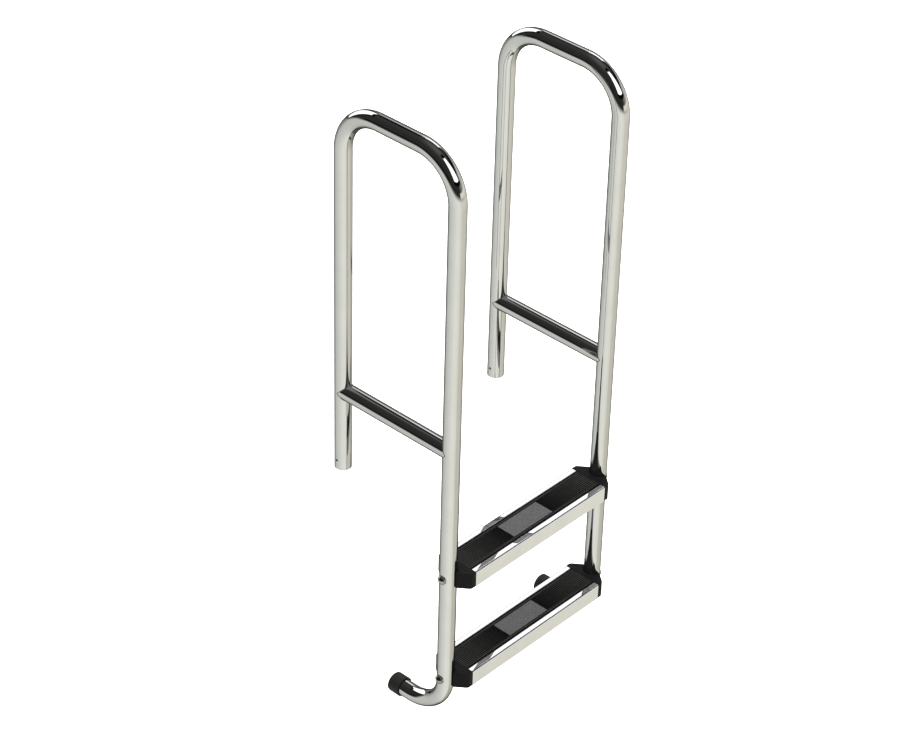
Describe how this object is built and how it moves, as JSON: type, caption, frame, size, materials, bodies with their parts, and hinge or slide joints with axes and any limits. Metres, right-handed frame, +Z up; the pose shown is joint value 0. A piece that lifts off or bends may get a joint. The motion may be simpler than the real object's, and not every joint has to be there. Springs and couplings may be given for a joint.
{
  "type": "boat boarding ladder",
  "caption": "Polished tube boarding ladder with tall looped hand rails, deck legs, ribbed treads with moulded end caps, and rubber-capped J-bend feet that rest on the hull.",
  "frame": {"origin": "midway between the centres of the two deck legs' open lower ends, where the deck holds the ladder", "axes": "+X along the treads from the left rail to the right rail, +Y towards the boat, +Z up"},
  "size_m": [0.5726, 0.4052, 1.5341],
  "materials": {
    "polished_steel": "mirror polished stainless steel",
    "fastener_steel": "polished stainless steel",
    "cap_plastic": "fine moulded grain",
    "ribbed_rubber": "ribbed, matt",
    "bumper_rubber": "smooth, matt",
    "grip_grit": "coarse anti-slip grit"
  },
  "bodies": {
    "root": {"left_rail_tube": "polished_steel", "left_cross_brace": "polished_steel", "left_bumper_cap": "bumper_rubber", "right_rail_tube": "polished_steel", "right_cross_brace": "polished_steel", "right_bumper_cap": "bumper_rubber", "upper_tread_channel": "polished_steel", "upper_tread_insert": "ribbed_rubber", "upper_grip_pad": "grip_grit", "upper_left_tread_cap": "cap_plastic", "upper_left_bolt": "fastener_steel", "upper_left_washer": "fastener_steel", "upper_left_nut": "fastener_steel", "upper_right_tread_cap": "cap_plastic", "upper_right_bolt": "fastener_steel", "upper_right_washer": "fastener_steel", "upper_right_nut": "fastener_steel", "lower_tread_channel": "polished_steel", "lower_tread_insert": "ribbed_rubber", "lower_grip_pad": "grip_grit", "lower_left_tread_cap": "cap_plastic", "lower_left_bolt": "fastener_steel", "lower_left_washer": "fastener_steel", "lower_left_nut": "fastener_steel", "lower_right_tread_cap": "cap_plastic", "lower_right_bolt": "fastener_steel", "lower_right_washer": "fastener_steel", "lower_right_nut": "fastener_steel"}
  },
  "joints": []
}
